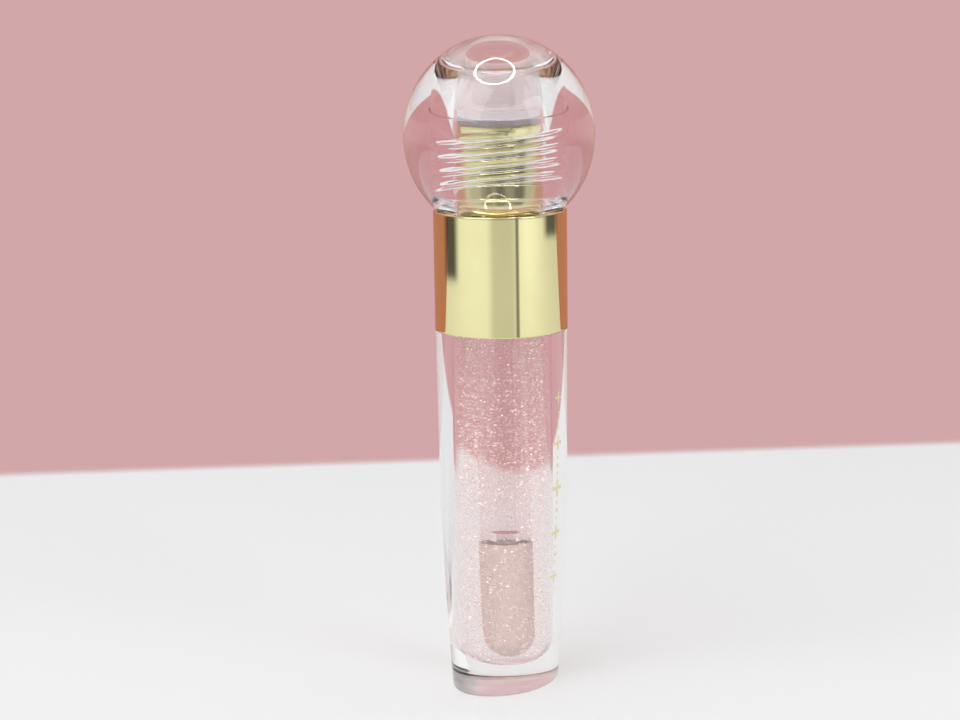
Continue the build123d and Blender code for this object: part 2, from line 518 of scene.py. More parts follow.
@dataclass(frozen=True)
class GoldPlate:
    """Mirror gold plating on moulded plastic, with a faint waviness and finger haze."""

    name: str = "gold_plating"
    pale: Colour = (0.86, 0.81, 0.46)
    deep: Colour = (0.80, 0.74, 0.39)
    tone: Grain = Grain(6.0, 2.0)
    haze: Grain = Grain(1.8, 5.0)
    hazy: Range = (0.5, 0.9)
    roughness: float = 0.035
    haze_roughness: float = 0.05
    wave: Grain = Grain(7.0, 1.0, (1.0, 1.0, 0.4))
    wave_depth: float = 0.004

    def build(self) -> bpy.types.Material:
        """Builds the finish.

        Returns:
            Its material.
        """
        maker = MaterialMaker(self.name)
        gold = maker.principled(
            Base_Color=maker.mix_colour(maker.noise(self.tone), self.pale, self.deep),
            Metallic=1.0,
            Roughness=self.roughness + maker.noise(self.haze).between(*self.hazy) * self.haze_roughness,
            Normal=maker.bump(maker.noise(self.wave), self.wave_depth),
        )
        return maker.done(gold)


@dataclass(frozen=True)
class MilkyPlastic:
    """Natural translucent plastic of the wiper and the wand's head."""

    name: str
    tint: Colour
    index: float = 1.49
    roughness: float = 0.12
    mottle_roughness: float = 0.1
    clearness: float = 0.85
    mottle: Grain = Grain(1.5, 4.0)
    mottled: Range = (0.4, 0.8)
    mottle_shade: float = 0.94
    mottle_depth: float = 0.006

    def build(self) -> bpy.types.Material:
        """Builds the finish.

        Returns:
            Its material.
        """
        maker = MaterialMaker(self.name)
        mottle = maker.noise(self.mottle)
        milky = maker.principled(
            Base_Color=maker.mix_colour(mottle, self.tint, shaded(self.tint, self.mottle_shade)),
            Roughness=self.roughness + mottle.between(*self.mottled) * self.mottle_roughness,
            IOR=self.index,
            Transmission_Weight=self.clearness,
            Normal=maker.bump(mottle, self.mottle_depth),
        )
        return maker.done(maker.lets_lamps_through(milky, self.tint))


@dataclass(frozen=True)
class FoamFinish:
    """Fine closed-cell foam of the seal washer."""

    name: str = "washer_foam"
    tint: Colour = (0.82, 0.75, 0.78)
    cell_size: float = 0.12
    cell_wall: Range = (0.1, 0.6)
    cell_shade: float = 0.8
    cell_depth: float = 0.02
    roughness: float = 0.75

    def build(self) -> bpy.types.Material:
        """Builds the finish.

        Returns:
            Its material.
        """
        maker = MaterialMaker(self.name)
        sockets = {"Vector": maker.place(), "Scale": 1 / (self.cell_size * MM)}
        cells = maker.value("ShaderNodeTexVoronoi", "Distance", None, sockets)
        shade = shaded(self.tint, self.cell_shade)
        foam = maker.principled(
            Base_Color=maker.mix_colour(cells.between(*self.cell_wall), shade, self.tint),
            Roughness=self.roughness,
            Normal=maker.bump(cells, self.cell_depth),
        )
        return maker.done(foam)


@dataclass(frozen=True)
class FlockFinish:
    """Short nylon flock, wetted and matted by the gloss."""

    name: str
    tuft_size: float = 0.16
    tuft_detail: float = 4.0
    tuft_stretch: tuple[float, float, float] = (1.0, 1.0, 0.6)
    tuft_depth: float = 0.06
    tuft_share: float = 0.6
    clump: Grain = Grain(1.3, 2.0)
    clump_share: float = 0.4
    tint: Colour = (0.95, 0.84, 0.79)
    shade: Colour = (0.90, 0.76, 0.71)
    tinted: Range = (0.35, 0.65)
    roughness: float = 0.8
    sheen: float = 0.35
    sheen_roughness: float = 0.4

    def build(self) -> bpy.types.Material:
        """Builds the finish.

        Returns:
            Its material.
        """
        maker = MaterialMaker(self.name)
        tufts = maker.noise(Grain(self.tuft_size, self.tuft_detail, self.tuft_stretch))
        height = tufts * self.tuft_share + maker.noise(self.clump) * self.clump_share
        flock = maker.principled(
            Base_Color=maker.mix_colour(height.between(*self.tinted), self.shade, self.tint),
            Roughness=self.roughness,
            Sheen_Weight=self.sheen,
            Sheen_Roughness=self.sheen_roughness,
            Normal=maker.bump(tufts, self.tuft_depth),
        )
        return maker.done(flock)


@dataclass(frozen=True)
class CorePlastic:
    """Natural clear plastic of the applicator's core."""

    name: str = "core_plastic"
    tint: Colour = (0.95, 0.91, 0.90)
    index: float = 1.49
    clearness: float = 0.9
    mottle: Grain = Grain(0.8, 3.0)
    mottle_shade: float = 0.93
    mottle_depth: float = 0.005
    roughness: float = 0.06
    mottle_roughness: float = 0.05

    def build(self) -> bpy.types.Material:
        """Builds the finish.

        Returns:
            Its material.
        """
        maker = MaterialMaker(self.name)
        mottle = maker.noise(self.mottle)
        core = maker.principled(
            Base_Color=maker.mix_colour(mottle, self.tint, shaded(self.tint, self.mottle_shade)),
            Roughness=self.roughness + mottle * self.mottle_roughness,
            IOR=self.index,
            Transmission_Weight=self.clearness,
            Normal=maker.bump(mottle, self.mottle_depth),
        )
        return maker.done(maker.lets_lamps_through(core, self.tint))


# ---------------------------------------------------------------------------------------------------
# Skins of rings
# ---------------------------------------------------------------------------------------------------

Corner = tuple[float, float, float]
ARC_STEP = 11.0
CORNER_LEAD = 0.15


def rounded_path(corners: Sequence[Corner], step: float, closed: bool = False) -> np.ndarray:
    """Outline in the plane of radius and height, with rounded corners and short spans.

    Args:
        corners: Radius from the axis, height and corner radius of each corner, in order.
        step: Longest span between two points.
        closed: True if the last corner joins the first.

    Returns:
        An array of radius and height, one row to a point.
    """
    count = len(corners)
    points: list[np.ndarray] = []
    for index, (radius, height, rounding) in enumerate(corners):
        here = np.array([radius, height])
        is_end = not closed and index in (0, count - 1)
        if is_end or rounding <= 0:
            points.append(here)
            continue
        before = np.array(corners[index - 1][:2])
        after = np.array(corners[(index + 1) % count][:2])
        points += corner_arc(before, here, after, rounding)
    if closed:
        points.append(points[0])
    path: list[np.ndarray] = [points[0]]
    for start, end in zip(points, points[1:]):
        spans = max(1, math.ceil(np.linalg.norm(end - start) / step))
        path += [start + (end - start) * share / spans for share in range(1, spans + 1)]
    return np.array(path[:-1] if closed else path)


def corner_arc(before: np.ndarray, corner: np.ndarray, after: np.ndarray, radius: float) -> list[np.ndarray]:
    """Arc that rounds one corner of an outline, with a point close to each end of it.

    Args:
        before: The point before the corner.
        corner: The corner.
        after: The point after it.
        radius: Radius of the arc.

    Returns:
        The arc's points.
    """
    into = (before - corner) / np.linalg.norm(before - corner)
    out = (after - corner) / np.linalg.norm(after - corner)
    half = math.acos(float(np.clip(into @ out, -1, 1))) / 2
    setback = radius / math.tan(half)
    middle = (into + out) / np.linalg.norm(into + out)
    centre = corner + middle * radius / math.sin(half)
    start, end = corner + into * setback, corner + out * setback
    sweep = math.pi - 2 * half
    steps = max(3, math.ceil(sweep / math.radians(ARC_STEP)))
    arc = []
    for index in range(steps + 1):
        turn = sweep * index / steps
        first = math.sin(sweep - turn) / math.sin(sweep)
        second = math.sin(turn) / math.sin(sweep)
        arc.append(centre + (start - centre) * first + (end - centre) * second)
    lead = min(radius, CORNER_LEAD)
    return [start + into * lead, *arc, end + out * lead]


class RingStack:
    """Rings of points round the Z axis, in order along the outline of a skin.

    A thread's rows climb round the axis, so that every row keeps its place on the ridge, and each one
    goes on where a higher one began. The partner of a ring is the ring that its last point joins.
    """

    def __init__(self, segments: int) -> None:
        """Starts an empty stack.

        Args:
            segments: Number of points to a ring.
        """
        self.segments = segments
        self.turn = np.linspace(0, FULL_TURN, segments, endpoint=False)
        self.rings: list[np.ndarray] = []
        self.partners: list[int] = []

    def add(self, across: np.ndarray, deep: np.ndarray, height: np.ndarray) -> "RingStack":
        """Adds oval rings.

        Args:
            across: Half length of each ring along X.
            deep: Half length of each ring along Y.
            height: Height of each ring.

        Returns:
            This stack.
        """
        first = len(self.rings)
        x = np.asarray(across)[:, None] * np.cos(self.turn)
        y = np.asarray(deep)[:, None] * np.sin(self.turn)
        z = np.broadcast_to(np.asarray(height)[:, None], x.shape)
        self.rings += list(np.stack([x, y, z], axis=-1))
        self.partners += range(first, len(self.rings))
        return self

    def turned(self, corners: Sequence[Corner], step: float, closed: bool = False) -> "RingStack":
        """Adds the rings of an outline turned round the axis.

        Args:
            corners: As for rounded_path.
            step: As for rounded_path.
            closed: As for rounded_path.

        Returns:
            This stack.
        """
        radius, height = rounded_path(corners, step, closed).T
        return self.add(radius, radius, height)

    def threaded(
        self, thread: "ScrewThread", wall_radius: float, low: float, high: float, bore: bool
    ) -> "RingStack":
        """Adds a round wall with a thread on it.

        Args:
            thread: The thread.
            wall_radius: Radius of the wall between the ridges.
            low: Height at which the rows start.
            high: Height at which they end.
            bore: True for a bore, whose rings run downward and whose ridges reach inward.

        Returns:
            This stack.
        """
        rise = thread.lead / thread.rows_per_lead
        count = math.ceil((high - low) / rise) + thread.rows_per_lead + 1
        level = low - thread.lead + rise * np.arange(count)[:, None]
        height = np.clip(level + thread.lead * self.turn / FULL_TURN, low, high)
        radius = wall_radius + thread.relief(self.turn, height) * (-1 if bore else 1)
        rings = np.stack([radius * np.cos(self.turn), radius * np.sin(self.turn), height], axis=-1)
        partners = np.minimum(np.arange(count) + thread.rows_per_lead, count - 1)
        if bore:
            rings, partners = rings[::-1], count - 1 - partners[::-1]
        self.partners += (len(self.rings) + partners).tolist()
        self.rings += list(rings)
        return self

    def skin(self, name: str, finish: bpy.types.Material, closed: bool = False) -> bpy.types.Object:
        """Makes a closed mesh, with a pole at each end or with its last ring joined to its first.

        Args:
            name: The piece's name.
            finish: Its material.
            closed: True for a skin whose rings go round and meet.

        Returns:
            The mesh object.
        """
        count, segments = len(self.rings), self.segments
        points = np.array(self.rings).reshape(-1, 3)
        around = np.arange(segments)
        faces: list[tuple[int, ...]] = []
        for ring in range(count if closed else count - 1):
            low, high = ring * segments, (ring + 1) % count * segments
            low_next, high_next = low + around + 1, high + around + 1
            low_next[-1] = self.partners[ring] * segments
            high_next[-1] = self.partners[(ring + 1) % count] * segments
            faces += zip(low + around, low_next, high_next, high + around)
        if not closed:
            onward = (around + 1) % segments
            poles = np.array([self.rings[0].mean(axis=0), self.rings[-1].mean(axis=0)])
            points = np.vstack([points, poles])
            first, last, top = len(points) - 2, len(points) - 1, (count - 1) * segments
            faces += [(first, int(b), int(a)) for a, b in zip(around, onward)]
            faces += [(last, int(top + a), int(top + b)) for a, b in zip(around, onward)]
        return mesh_piece(name, points, faces, finish)


def mesh_piece(
    name: str,
    points: np.ndarray,
    faces: Iterable[Sequence[int]],
    finish: bpy.types.Material,
    sharp: float = 32.0,
) -> bpy.types.Object:
    """Makes a smooth mesh object whose faces look outward.

    Args:
        name: The piece's name.
        points: Points in millimetres.
        faces: Point indices of each face.
        finish: Its material.
        sharp: Edges that turn by more than this many degrees stay sharp.

    Returns:
        The object, linked to the scene.
    """
    mesh = bpy.data.meshes.new(name)
    rows = [tuple(int(index) for index in face) for face in faces]
    mesh.from_pydata((np.asarray(points) * MM).tolist(), [], rows)
    joined = bmesh.new()
    joined.from_mesh(mesh)
    bmesh.ops.remove_doubles(joined, verts=joined.verts, dist=MERGE_DISTANCE)
    joined.to_mesh(mesh)
    joined.free()
    mesh.update()
    if signed_volume(mesh) < 0:
        mesh.flip_normals()
    mesh.shade_smooth()
    mesh.set_sharp_from_angle(angle=math.radians(sharp))
    mesh.materials.append(finish)
    piece = bpy.data.objects.new(name, mesh)
    bpy.context.scene.collection.objects.link(piece)
    return piece


def signed_volume(mesh: bpy.types.Mesh) -> float:
    """Volume inside a mesh.

    Args:
        mesh: The closed mesh.

    Returns:
        The volume, negative where the faces look inward.
    """
    mesh.calc_loop_triangles()
    corners = np.array([triangle.vertices for triangle in mesh.loop_triangles])
    points = np.array([vertex.co for vertex in mesh.vertices])
    first, second, third = (points[corners[:, side]] for side in range(3))
    return float(np.einsum("ij,ij->i", first, np.cross(second, third)).sum() / 6)


@dataclass(frozen=True)
class ScrewThread:
    """Helical ridges on a round wall, in millimetres."""

    start_height: float
    turns: float
    depth: float
    root_width: float
    crest_width: float
    starts: int = 2
    lead: float = 3.15
    entry_angle: float = 134.0
    fade_turns: float = 0.06
    rows_per_lead: int = 40

    def reach(self) -> tuple[float, float]:
        """Lowest and highest point of the ridges."""
        half = self.root_width / 2
        return self.start_height - half, self.start_height + self.lead * self.turns + half

    def relief(self, turn: np.ndarray, height: np.ndarray) -> np.ndarray:
        """Height of the ridges over the wall.

        Args:
            turn: Angle round the axis, in radians.
            height: Height of each point.

        Returns:
            The relief in millimetres, of the shape that the two broadcast to.
        """
        tallest = np.zeros(np.broadcast(turn, height).shape)
        wound = turn / FULL_TURN - self.entry_angle / 360
        flank = (self.root_width - self.crest_width) / 2
        for start in range(self.starts):
            for lap in range(-1, math.ceil(self.turns) + 2):
                along = wound - start / self.starts + lap
                away = np.abs(height - self.start_height - self.lead * along)
                rise = np.clip((self.root_width / 2 - away) / flank, 0, 1)
                ends = np.clip(np.minimum(along, self.turns - along) / self.fade_turns, 0, 1)
                ridge = self.depth * rise * rise * (3 - 2 * rise) * ends
                tallest = np.maximum(tallest, ridge)
        return tallest


# ---------------------------------------------------------------------------------------------------
# Bottle, with its gloss, glitter and foil
# ---------------------------------------------------------------------------------------------------


def top_of(node: str) -> float:
    """Highest point of a node, in millimetres."""
    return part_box(node)[1].z / MM


def foot_of(node: str) -> float:
    """Lowest point of a node, in millimetres."""
    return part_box(node)[0].z / MM


def reach_of(node: str) -> float:
    """Largest distance along X of a node, in millimetres."""
    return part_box(node)[1].x / MM


@dataclass
class Bottle:
    """Thick clear bottle: oval foot, round shoulder, round bore, and a spigot inside the collar."""

    foot_half_length: float = 9.2
    foot_half_depth: float = 7.1
    foot_round: float = 0.5
    taper_power: float = 2.3
    cavity_radius: float = 4.95
    cavity_floor_round: float = 2.8
    floor_thickness: float = 4.0
    spigot_radius: float = 8.7
    spigot_round: float = 0.3
    shoulder_inset: float = 0.1
    side_rings: int = 72
    foot_round_rings: int = 8
    sole_insets: tuple[float, ...] = (0.7, 1.4, 3.0, 5.0, 6.6)
    span: float = 1.2
    segments: int = 224
    height: float = field(init=False)
    shoulder_radius: float = field(init=False)
    spigot_top: float = field(init=False)

    def __post_init__(self) -> None:
        """Reads the sizes that the frame gives."""
        self.height = foot_of("collar")
        self.shoulder_radius = reach_of("bottle")
        self.spigot_top = top_of("bottle")

    def half_sizes(self, height: float) -> tuple[float, float]:
        """Size of the outside at a height.

        Args:
            height: The height.

        Returns:
            Half its length along X and half its depth along Y.
        """
        taper = max(0.0, (self.height - height) / self.height) ** self.taper_power
        half_length = self.shoulder_radius - (self.shoulder_radius - self.foot_half_length) * taper
        half_depth = self.shoulder_radius - (self.shoulder_radius - self.foot_half_depth) * taper
        return half_length, half_depth

    def surface_point(self, heading: float, height: float, lift: float = 0.0) -> np.ndarray:
        """Point on the outside of the bottle.

        Args:
            heading: Direction from the axis, in radians from +X.
            height: Height of the point.
            lift: Distance off the surface.

        Returns:
            The point in millimetres.
        """
        half_length, half_depth = self.half_sizes(height)
        reach = 1 / math.hypot(math.cos(heading) / half_length, math.sin(heading) / half_depth)
        point = np.array([reach * math.cos(heading), reach * math.sin(heading), height])
        outward = np.array([point[0] / half_length**2, point[1] / half_depth**2, 0.0])
        return point + outward / np.linalg.norm(outward) * lift

    def outside_sizes(self) -> tuple[np.ndarray, np.ndarray, np.ndarray]:
        """Sizes of the outside's rings, from the shoulder to the middle of the foot.

        Returns:
            The half length, the half depth and the height of each ring.
        """
        lowest = self.foot_round + CORNER_LEAD
        heights = [*np.linspace(self.height, lowest, self.side_rings), self.foot_round]
        insets = [0.0] * len(heights)
        for step in range(1, self.foot_round_rings + 1):
            bend = math.pi / 2 * step / self.foot_round_rings
            heights.append(self.foot_round * (1 - math.sin(bend)))
            insets.append(self.foot_round * (1 - math.cos(bend)))
        for inset in self.sole_insets:
            heights.append(0.0)
            insets.append(inset)
        across, deep = np.array([self.half_sizes(height) for height in heights]).T
        return across - insets, deep - insets, np.array(heights)

    def bore_corners(self, grow: float = 0.0) -> list[Corner]:
        """Outline of the bore from the middle of its floor up its wall, made larger by grow."""
        radius, floor = self.cavity_radius + grow, self.floor_thickness - grow
        return [(NEAR_AXIS, floor, 0.0), (radius, floor, self.cavity_floor_round)]

    def build(self, finish: bpy.types.Material) -> bpy.types.Object:
        """Builds the bottle.

        Args:
            finish: Its material.

        Returns:
            The bottle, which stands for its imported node.
        """
        inside = [
            *self.bore_corners(),
            (self.cavity_radius, self.spigot_top, 0.0),
            (self.spigot_radius, self.spigot_top, self.spigot_round),
            (self.spigot_radius, self.height, 0.0),
            (self.shoulder_radius - self.shoulder_inset, self.height, 0.0),
        ]
        stack = RingStack(self.segments).turned(inside, self.span).add(*self.outside_sizes())
        piece = stack.skin("bottle_clear", finish)
        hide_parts("bottle")
        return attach(piece, Body.BOTTLE.value)


@dataclass
class Gloss:
    """The gel in the bottle and its glitter.

    The gel's skin lies a little inside the bottle's wall and inside the wand, so that light goes from one
    clear material straight into the next with no film of air between them. Round the tip the glitter is
    sparser than above it.
    """

    bottle: Bottle
    wall_overlap: float = 0.03
    wand_overlap: float = 0.03
    meniscus: float = 0.5
    meniscus_lip: float = 0.4
    meniscus_round: float = 0.2
    channel_round: float = 0.3
    tip_cover: float = 0.5
    peg_radius: float = 0.9
    peg_cover: float = 2.0
    span: float = 1.2
    segments: int = 160
    flakes: int = 10000
    flake_radius: tuple[float, float] = (0.085, 0.165)
    flake_thickness: float = 0.02
    wall_gap: float = 0.2
    sparse_over_tip: float = 6.0
    sparse_share: float = 0.5
    seed: int = 41

    def build(self, finish: bpy.types.Material) -> bpy.types.Object:
        """Builds the gel.

        Args:
            finish: Its material.

        Returns:
            The gel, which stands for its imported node.
        """
        level = top_of("gloss")
        wall = self.bottle.cavity_radius + self.wall_overlap
        stem = reach_of("stem") - self.wand_overlap
        tip_top = top_of("applicator_flock")
        corners = [
            *self.bottle.bore_corners(self.wall_overlap),
            (wall, level, self.meniscus_round),
            (wall - self.meniscus, level - self.meniscus, self.meniscus_round),
            (stem + self.meniscus, level - self.meniscus, self.meniscus_round),
            (stem, level - self.meniscus * self.meniscus_lip, self.meniscus_round / 2),
            (stem, tip_top - self.tip_cover, self.channel_round),
            (self.peg_radius, tip_top - self.peg_cover, self.channel_round),
            (NEAR_AXIS, tip_top - self.peg_cover, 0.0),
        ]
        piece = RingStack(self.segments).turned(corners, self.span).skin("gloss_gel", finish)
        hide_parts("gloss")
        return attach(piece, Body.BOTTLE.value)

    def flake_places(self, rng: random.Random) -> list[np.ndarray]:
        """Scatters flakes in the gel, clear of the wall and of the wand.

        Args:
            rng: Seeded source of random numbers.

        Returns:
            The flakes' centres in millimetres.
        """
        outer = self.bottle.cavity_radius - self.wall_gap
        floor = self.bottle.floor_thickness + self.wall_gap
        level = top_of("gloss") - 2 * self.meniscus
        stem = reach_of("stem") + self.wall_gap
        tip = reach_of("applicator_flock") + self.wall_gap
        tip_top = top_of("applicator_flock")
        bowl = self.bottle.cavity_floor_round
        places = []
        while len(places) < self.flakes:
            height = rng.uniform(floor, level)
            radius = outer * math.sqrt(rng.random())
            inner = tip if height < tip_top + self.wall_gap else stem
            in_bowl = math.hypot(max(0, radius - outer + bowl), max(0, floor + bowl - height)) < bowl
            sparse = height < tip_top + self.sparse_over_tip and rng.random() < self.sparse_share
            if radius < inner or not in_bowl or sparse:
                continue
            heading = rng.uniform(0, FULL_TURN)
            places.append(np.array([radius * math.cos(heading), radius * math.sin(heading), height]))
        return places

    def sprinkle(self, finish: bpy.types.Material) -> bpy.types.Object:
        """Builds the glitter as one mesh of six-sided flakes.

        Args:
            finish: Its material.

        Returns:
            The glitter.
        """
        rng = random.Random(self.seed)
        rim = np.array([(math.cos(turn), math.sin(turn), 0.0) for turn in np.arange(6) * math.pi / 3])
        flake = np.vstack([rim, [(0, 0, 1), (0, 0, -1)]])
        sides = [(side, (side + 1) % 6, 6) for side in range(6)]
        sides += [((side + 1) % 6, side, 7) for side in range(6)]
        points, faces = [], []
        for place in self.flake_places(rng):
            radius = rng.uniform(*self.flake_radius)
            axis = Vector((rng.gauss(0, 1), rng.gauss(0, 1), rng.gauss(0, 1))).normalized()
            tilt = np.array(Matrix.Rotation(rng.uniform(0, math.pi), 3, axis))
            size = np.array([radius, radius, self.flake_thickness / 2])
            base = 8 * len(points)
            points.append((flake * size) @ tilt.T + place)
            faces += [tuple(base + corner for corner in side) for side in sides]
        piece = mesh_piece("glitter", np.vstack(points), faces, finish, sharp=1.0)
        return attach(piece, Body.BOTTLE.value)


@dataclass
class FoilOrnament:
    """Upright row of foil stars and dots stamped on the front of the bottle.

    Attributes:
        heading: Direction of the row from the axis, in degrees from +X.
        lowest: Height of the lowest star.
        highest: Height of the highest star.
        stars: Number of stars.
        star_reach: Reach of the middle star and of the two end stars.
        star_points: Number of points in a star's outline.
        star_waist: Reach between its rays, as a share of its reach.
        star_pinch: How sharply its rays narrow.
        star_narrowing: Its width as a share of its height.
        dot_radius: Radius of the larger dots.
        dot_points: Number of points in a dot's outline.
        dots: Scale of each dot between two stars, and how far up it stands.
        thickness: How far the foil stands off the bottle.
    """

    bottle: Bottle
    heading: float = -78.5
    lowest: float = 18.0
    highest: float = 46.0
    stars: int = 5
    star_reach: tuple[float, float] = (1.5, 1.0)
    star_points: int = 24
    star_waist: float = 0.16
    star_pinch: float = 2.2
    star_narrowing: float = 0.9
    dot_radius: float = 0.3
    dot_points: int = 14
    dots: tuple[tuple[float, float], ...] = ((0.7, 0.33), (1.0, 0.5), (0.7, 0.67))
    thickness: float = 0.02

    def outline(self, motif: Motif, size: float) -> list[tuple[float, float]]:
        """Outline of one motif, seen from the front.

        Args:
            motif: Which motif.
            size: Its reach.

        Returns:
            Points across and up from its middle.
        """
        if motif is Motif.DOT:
            turns = np.arange(self.dot_points) * FULL_TURN / self.dot_points
            return [(size * math.cos(turn), size * math.sin(turn)) for turn in turns]
        points = []
        for index in range(self.star_points):
            turn = FULL_TURN * index / self.star_points
            ray = abs(math.cos(2 * turn)) ** self.star_pinch
            reach = size * (self.star_waist + (1 - self.star_waist) * ray)
            points.append((self.star_narrowing * reach * math.cos(turn), reach * math.sin(turn)))
        return points

    def motifs(self) -> list[tuple[Motif, float, float]]:
        """Lays out the row.

        Returns:
            Kind, size and height of every motif, from the lowest.
        """
        pitch = (self.highest - self.lowest) / (self.stars - 1)
        made = []
        for index in range(self.stars):
            height = self.lowest + pitch * index
            away = abs(2 * index / (self.stars - 1) - 1)
            size = self.star_reach[0] + (self.star_reach[1] - self.star_reach[0]) * away
            made.append((Motif.STAR, size, height))
            if index == self.stars - 1:
                continue
            for scale, share in self.dots:
                made.append((Motif.DOT, self.dot_radius * scale, height + pitch * share))
        return made

    def build(self, finish: bpy.types.Material) -> bpy.types.Object:
        """Builds the ornament as one thin mesh on the surface.

        Args:
            finish: Its material.

        Returns:
            The ornament.
        """
        points: list[np.ndarray] = []
        faces: list[tuple[int, ...]] = []
        middle = math.radians(self.heading)
        for motif, size, height in self.motifs():
            outline = [(0.0, 0.0), *self.outline(motif, size)]
            base, count = len(points), len(outline)
            reach = np.linalg.norm(self.bottle.surface_point(middle, height)[:2])
            for lift in (self.thickness, -self.thickness / 2):
                for across, up in outline:
                    points.append(self.bottle.surface_point(middle + across / reach, height + up, lift))
            for side in range(1, count):
                onward = side % (count - 1) + 1
                faces.append((base, base + side, base + onward))
                faces.append((base + count, base + count + onward, base + count + side))
                faces.append((base + side, base + count + side, base + count + onward, base + onward))
        piece = mesh_piece("foil_stars", np.array(points), faces, finish)
        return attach(piece, Body.BOTTLE.value)


# ---------------------------------------------------------------------------------------------------
# Collar and ball cap
# ---------------------------------------------------------------------------------------------------


@dataclass
class Collar:
    """Gold collar with its threaded neck."""

    wall: float = 1.25
    edge_round: float = 0.2
    inner_round: float = 0.1
    top: float = 73.7
    roof_thickness: float = 1.3
    neck_radius: float = 6.3
    neck_bore_radius: float = 4.6
    neck_plain_radius: float = 6.6
    neck_plain_height: float = 5.5
    neck_plain_round: float = 0.12
    neck_foot_round: float = 0.08
    neck_base_radius: float = 6.75
    neck_base_height: float = 3.7
    neck_step_round: float = 0.04
    rim_round: float = 0.25
    thread_height: float = 6.1
    thread_turns: float = 1.8
    thread_depth: float = 0.28
    thread_root: float = 0.95
    thread_crest: float = 0.3
    span: float = 1.0
    segments: int = 224

    def build(self, finish: bpy.types.Material) -> bpy.types.Object:
        """Builds the collar.

        Args:
            finish: Its material.

        Returns:
            The collar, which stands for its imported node.
        """
        foot, neck_top, radius = foot_of("collar"), top_of("collar"), reach_of("collar")
        inner = radius - self.wall
        roof = self.top - self.roof_thickness
        base_top = self.top + self.neck_base_height
        plain_top = self.top + self.neck_plain_height
        thread = ScrewThread(
            start_height=self.top + self.thread_height,
            turns=self.thread_turns,
            depth=self.thread_depth,
            root_width=self.thread_root,
            crest_width=self.thread_crest,
        )
        low, high = thread.reach()
        corners = [
            (self.neck_radius, high, 0.0),
            (self.neck_radius, neck_top, self.rim_round),
            (self.neck_bore_radius, neck_top, self.rim_round),
            (self.neck_bore_radius, roof, self.inner_round),
            (inner, roof, self.inner_round),
            (inner, foot, self.inner_round),
            (radius, foot, self.edge_round),
            (radius, self.top, self.edge_round),
            (self.neck_base_radius, self.top, self.inner_round),
            (self.neck_base_radius, base_top, self.inner_round),
            (self.neck_plain_radius, base_top, self.neck_step_round),
            (self.neck_plain_radius, plain_top, self.neck_plain_round),
            (self.neck_radius, plain_top, self.neck_foot_round),
            (self.neck_radius, low, 0.0),
        ]
        stack = RingStack(self.segments).turned(corners, self.span)
        stack.threaded(thread, self.neck_radius, low, high, bore=False)
        piece = stack.skin("collar_gold", finish, closed=True)
        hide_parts("collar")
        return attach(piece, Body.BOTTLE.value)


@dataclass
class BallCap:
    """Clear ball with a flat foot and a blind threaded bore."""

    foot_radius: float = 9.6
    foot_gap: float = 0.015
    half_height: float = 14.8
    mouth_radius: float = 7.4
    mouth_length: float = 3.4
    mouth_round: float = 0.2
    step_round: float = 0.1
    bore_radius: float = 7.0
    bore_round: float = 0.08
    seat_radius: float = 6.85
    seat_start: float = 87.2
    seat_round: float = 0.06
    roof_round: float = 0.35
    roof_gap: float = 0.02
    thread_height: float = 5.2
    thread_turns: float = 2.0
    thread_depth: float = 0.36
    thread_root: float = 1.15
    thread_crest: float = 0.1
    span: float = 0.8
    segments: int = 224
    rings: int = 110

    def outside(self) -> tuple[np.ndarray, np.ndarray]:
        """Sizes of the ball's rings, from its foot up to its top.

        Returns:
            The radius and the height of each ring.
        """
        radius, centre = reach_of("ball_cap"), top_of("ball_cap") - self.half_height
        first = math.acos(self.foot_radius / radius)
        turns = np.linspace(-first + self.foot_gap, math.pi / 2, self.rings)
        return np.maximum(NEAR_AXIS, radius * np.cos(turns)), centre + self.half_height * np.sin(turns)

    def build(self, finish: bpy.types.Material) -> bpy.types.Object:
        """Builds the ball.

        Args:
            finish: Its material.

        Returns:
            The ball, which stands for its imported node.
        """
        foot = foot_of("ball_cap")
        roof = top_of("wand_head") + self.roof_gap
        mouth_top = foot + self.mouth_length
        thread = ScrewThread(
            start_height=foot + self.thread_height,
            turns=self.thread_turns,
            depth=self.thread_depth,
            root_width=self.thread_root,
            crest_width=self.thread_crest,
        )
        low, high = thread.reach()
        above = [
            (NEAR_AXIS, roof, 0.0),
            (self.seat_radius, roof, self.roof_round),
            (self.seat_radius, self.seat_start, self.seat_round),
            (self.bore_radius, self.seat_start, self.bore_round),
            (self.bore_radius, high, 0.0),
        ]
        below = [
            (self.bore_radius, low, 0.0),
            (self.bore_radius, mouth_top, self.step_round),
            (self.mouth_radius, mouth_top, self.step_round),
            (self.mouth_radius, foot, self.mouth_round),
            (self.foot_radius, foot, 0.0),
        ]
        stack = RingStack(self.segments).turned(above, self.span)
        stack.threaded(thread, self.bore_radius, low, high, bore=True).turned(below, self.span)
        radius, height = self.outside()
        piece = stack.add(radius, radius, height).skin("ball_clear", finish)
        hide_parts("ball_cap")
        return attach(piece, Body.CAP.value)


# ---------------------------------------------------------------------------------------------------
# Wand
# ---------------------------------------------------------------------------------------------------


def dress(node: str, finish: bpy.types.Material) -> bpy.types.Object:
    """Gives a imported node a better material.

    Args:
        node: The node's name.
        finish: The material for all its slots.

    Returns:
        The node's object.
    """
    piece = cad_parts[node]
    for slot in piece.material_slots:
        slot.material = finish
    return piece


